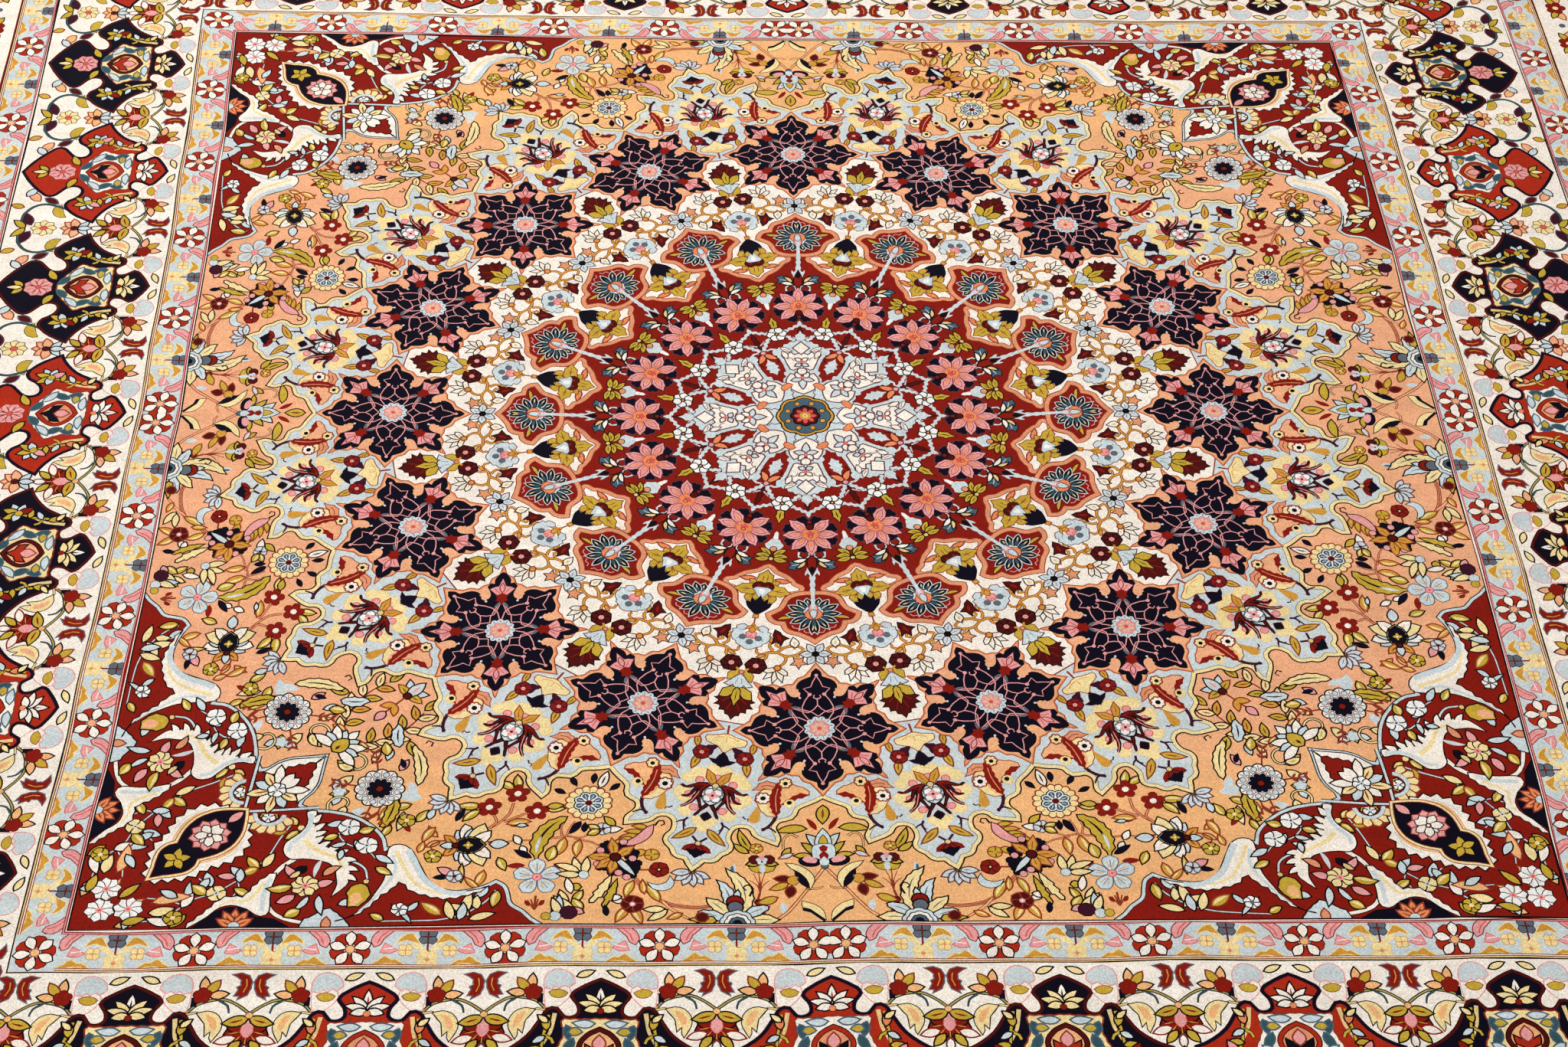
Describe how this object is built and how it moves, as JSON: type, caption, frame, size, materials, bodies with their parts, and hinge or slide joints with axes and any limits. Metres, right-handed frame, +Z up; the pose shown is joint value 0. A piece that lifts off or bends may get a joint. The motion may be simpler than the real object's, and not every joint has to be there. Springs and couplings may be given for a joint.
{
  "type": "square knotted silk rug",
  "caption": "Square hand-knotted silk rug lying flat, with a round star medallion, red corner spandrels and floral borders.",
  "frame": {"origin": "on the floor under the middle of the rug", "axes": "+Z up out of the pile; +X along the wider side, across the warp; +Y along the warp, away from the viewer of the picture"},
  "size_m": [1.9974, 1.9742, 0.0053],
  "materials": {
    "silk_pile": "short cut silk pile, soft sheen"
  },
  "bodies": {
    "root": {"rug": "silk_pile"}
  },
  "joints": []
}
